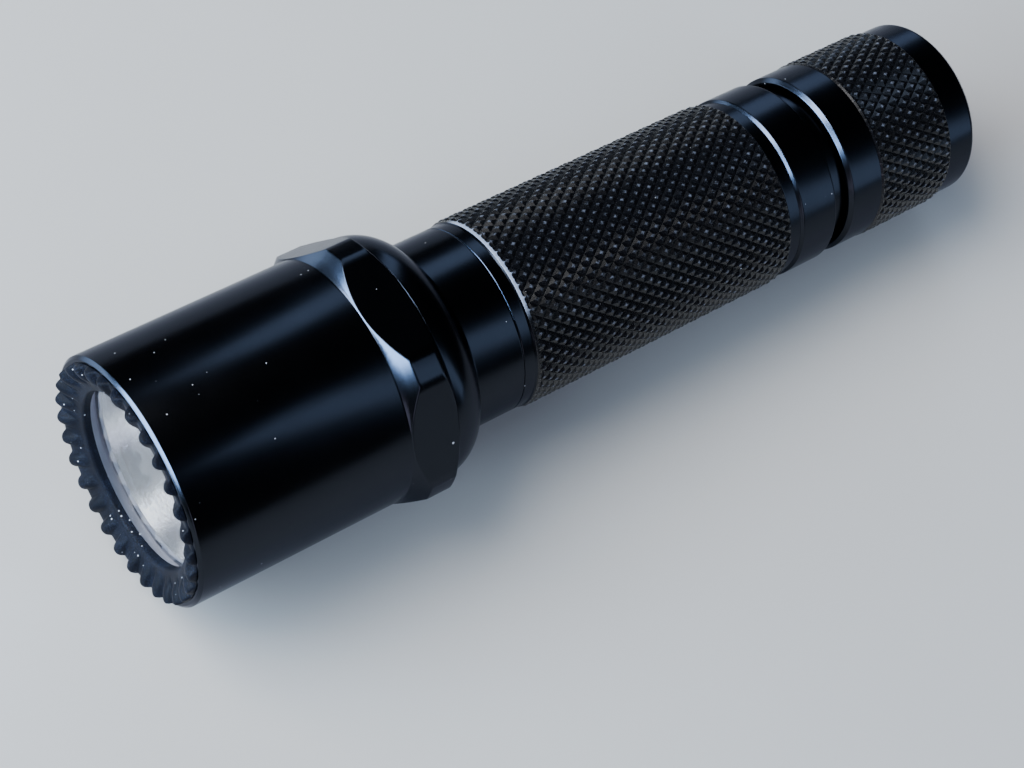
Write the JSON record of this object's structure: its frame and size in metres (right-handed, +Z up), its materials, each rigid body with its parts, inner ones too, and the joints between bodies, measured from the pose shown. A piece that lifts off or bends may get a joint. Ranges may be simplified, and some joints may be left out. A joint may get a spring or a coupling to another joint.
{
  "type": "flashlight",
  "caption": "Compact tactical flashlight: knurled body with two cells, hex-flanged shock-mounted head with toothed rubber front ring, and a twisting tail cap with a push button.",
  "frame": {"origin": "on the ground under the middle of the overall length, with the light lying on one flat of its hex flange", "axes": "+X along the light's axis towards the beam, +Z up, Y across"},
  "size_m": [0.1244, 0.0354, 0.0322],
  "materials": {
    "black_anodised": "black hard anodised, satin gloss",
    "black_rubber": "dull moulded rubber",
    "seal_rubber": "greased rubber",
    "cell_steel": "nickel-plated can",
    "cell_wrap": "plain red shrink wrap",
    "nickel_plate": "nickel plate",
    "reflector_metal": "vacuum-metallised, finely textured",
    "bulb_glass": "clear",
    "window_glass": "clear, coated",
    "tungsten": "drawn wire",
    "ceramic": "matt ceramic",
    "brass": "turned brass",
    "spring_steel": "drawn spring wire",
    "nylon": "natural nylon",
    "button_rubber": "dull moulded rubber"
  },
  "bodies": {
    "body": {"body_tube": "black_anodised", "neck_seal": "seal_rubber", "tail_seal": "seal_rubber", "front_cell_can": "cell_steel", "front_cell_sleeve": "cell_wrap", "front_cell_terminal": "nickel_plate", "rear_cell_can": "cell_steel", "rear_cell_sleeve": "cell_wrap", "rear_cell_terminal": "nickel_plate"},
    "lamp": {"reflector": "reflector_metal", "bulb_envelope": "bulb_glass", "filament": "tungsten", "filament_posts": "tungsten", "lamp_base": "ceramic", "lamp_socket": "brass", "lamp_contact": "brass", "lamp_outer_spring": "spring_steel", "lamp_centre_spring": "spring_steel"},
    "head": {"bezel_shell": "black_anodised", "impact_ring": "black_rubber", "window": "window_glass", "window_gasket": "seal_rubber", "snap_ring": "spring_steel", "front_shock_ring": "seal_rubber", "rear_shock_ring": "seal_rubber", "head_neck": "black_anodised"},
    "slip_washer": {"slip_ring": "nylon"},
    "cap": {"tail_cap": "black_anodised"},
    "button": {"push_button": "button_rubber", "button_seal": "seal_rubber", "button_plunger": "nylon", "contact_disc": "brass", "tail_spring": "spring_steel", "contact_spring": "spring_steel"}
  },
  "joints": [
    {"name": "lamp_travel", "type": "slide", "parent": "body", "child": "lamp", "axis": [1, 0, 0], "range_m": [0, 0.006], "deforming": ["lamp_outer_spring", "lamp_centre_spring"]},
    {"name": "head_twist", "type": "hinge", "parent": "lamp", "child": "head", "pos_m": [0.03, 0, 0.0161], "axis": [1, 0, 0], "range_deg": [0, 2160]},
    {"name": "cap_travel", "type": "slide", "parent": "body", "child": "slip_washer", "axis": [-1, 0, 0], "range_m": [-0.0025, 0.003], "deforming": ["tail_spring"]},
    {"name": "cap_twist", "type": "hinge", "parent": "slip_washer", "child": "cap", "pos_m": [-0.05, 0, 0.0161], "axis": [-1, 0, 0], "range_deg": [-900, 1080]},
    {"name": "button_press", "type": "slide", "parent": "slip_washer", "child": "button", "axis": [1, 0, 0], "range_m": [0, 0.0015], "stiffness_N_per_m": 800, "springref_m": -0.001, "deforming": ["tail_spring", "contact_spring"]}
  ],
  "couplings": [
    {"joint": "lamp_travel", "follows": "head_twist", "m_per_rad": 0.00015915},
    {"joint": "cap_travel", "follows": "cap_twist", "m_per_rad": 0.00015915}
  ]
}
